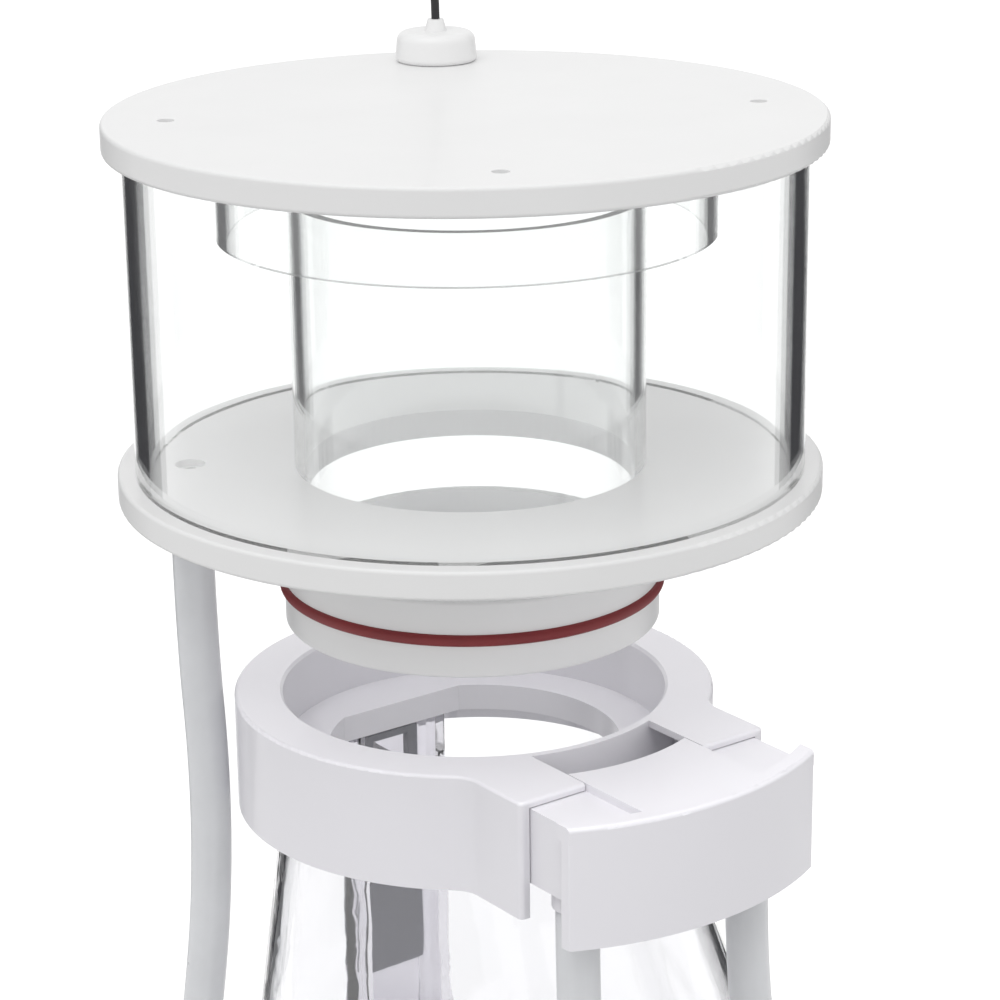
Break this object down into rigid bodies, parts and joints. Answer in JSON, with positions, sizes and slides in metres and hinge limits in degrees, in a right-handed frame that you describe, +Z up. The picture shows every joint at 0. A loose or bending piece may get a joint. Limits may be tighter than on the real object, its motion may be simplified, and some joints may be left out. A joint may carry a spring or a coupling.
{
  "type": "protein skimmer",
  "caption": "Sump protein skimmer with a lift-off clear collection cup, sealed spigot, oblique clear chamber, slide-out air silencer and needle-wheel pump.",
  "frame": {"origin": "on the floor under the axis of the chamber's neck and the cup", "axes": "+Z up, -Y towards the silencer and the pump, X the mirror direction of the body"},
  "size_m": [0.209, 0.3832, 0.5589],
  "materials": {
    "white_body": "moulded glossy white",
    "white_cup": "glossy white sheet",
    "clear_acrylic": "clear polished acrylic",
    "grey_acrylic": "smoked grey acrylic",
    "rubber": "matte",
    "nylon": "satin",
    "foam": "open-cell foam",
    "pump_black": "fine matte",
    "pump_white": "moulded satin",
    "bush": "polished",
    "ceramic_shaft": "polished",
    "magnet": "coated",
    "red_seal": "silicone seal",
    "white_hose": "translucent white silicone",
    "float_black": "foamed plastic",
    "cable": "soft sheath",
    "wheel_red": "satin"
  },
  "bodies": {
    "body": {"base_plate": "white_body", "rubber_feet": "rubber", "foot_screws": "nylon", "lower_chamber": "clear_acrylic", "chamber_ring": "white_body", "chamber_cone": "clear_acrylic", "outlet_spout": "clear_acrylic", "outlet_channel": "clear_acrylic", "bubble_plate": "white_body", "plate_pillars": "white_body", "collar": "white_body", "pump_motor": "pump_black", "pump_cradle": "white_body", "shaft_bushes": "bush", "cover_screws": "nylon", "cable_gland": "pump_black", "volute_left": "pump_white", "volute_right": "pump_white", "volute_cover_left": "pump_white", "volute_cover_right": "pump_white", "air_hose_left": "white_hose", "air_hose_right": "white_hose"},
    "silencer": {"silencer_box": "white_body", "silencer_lid": "white_body", "silencer_foam": "foam", "air_barbs": "white_body"},
    "rotor": {"rotor_shaft": "ceramic_shaft", "rotor_magnet": "magnet", "needle_wheel_left": "wheel_red", "needle_wheel_right": "wheel_red"},
    "gate": {"gate_plate": "grey_acrylic", "gate_knob": "nylon"},
    "cup": {"cup_base": "white_cup", "cup_tube": "clear_acrylic", "riser_tube": "clear_acrylic", "spigot": "white_cup", "spigot_oring": "red_seal", "drain_barb": "white_cup", "drain_hose": "white_hose", "drain_plug": "nylon"},
    "lid": {"lid": "white_cup", "splash_ring": "clear_acrylic", "sensor_cap": "white_cup", "sensor_stem": "nylon", "sensor_cable": "cable", "sensor_hank": "cable", "sensor_plug": "pump_black"},
    "float": {"sensor_float": "float_black"}
  },
  "joints": [
    {"name": "cup_lift", "type": "slide", "parent": "body", "child": "cup", "axis": [0, 0, 1], "range_m": [-0.0397, 0.06]},
    {"name": "lid_lift", "type": "slide", "parent": "cup", "child": "lid", "axis": [0, 0, 1], "range_m": [0, 0.06]},
    {"name": "float_rise", "type": "slide", "parent": "lid", "child": "float", "axis": [0, 0, 1], "range_m": [0, 0.0135]},
    {"name": "silencer_slide", "type": "slide", "parent": "body", "child": "silencer", "axis": [0, -1, 0], "range_m": [-0.015, 0.02], "deforming": ["air_hose_left", "air_hose_right"]},
    {"name": "rotor_spin", "type": "hinge", "parent": "body", "child": "rotor", "pos_m": [0, -0.172, 0.052], "axis": [1, 0, 0], "continuous": true},
    {"name": "gate_slide", "type": "slide", "parent": "body", "child": "gate", "axis": [0, 0, 1], "range_m": [-0.016, 0]}
  ]
}
